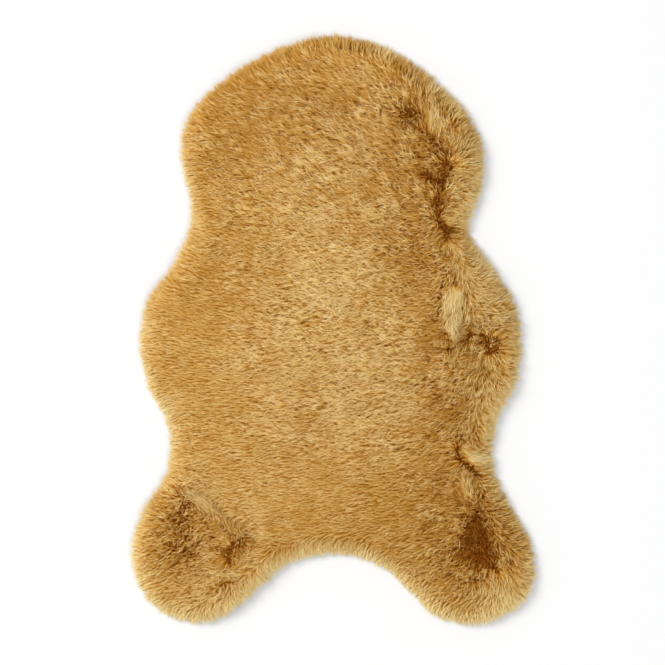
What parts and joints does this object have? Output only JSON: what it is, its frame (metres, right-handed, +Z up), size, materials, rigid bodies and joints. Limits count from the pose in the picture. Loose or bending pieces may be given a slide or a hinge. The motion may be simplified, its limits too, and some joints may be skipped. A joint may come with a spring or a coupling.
{
  "type": "sheepskin rug",
  "caption": "Sheepskin-shaped rug laid flat: a lumpy slab of dense golden pile with a rounded head end, pinched neck and waist, hind legs with a bay between them, and locks round its rim.",
  "frame": {"origin": "on the floor, under the middle of the rug's box", "axes": "+Y towards the head end, +X towards the right side seen from above, +Z up out of the pile"},
  "size_m": [0.55, 0.8, 0.0302],
  "materials": {
    "pile": "soft golden plush pile"
  },
  "bodies": {
    "root": {"pelt": "pile"}
  },
  "joints": []
}
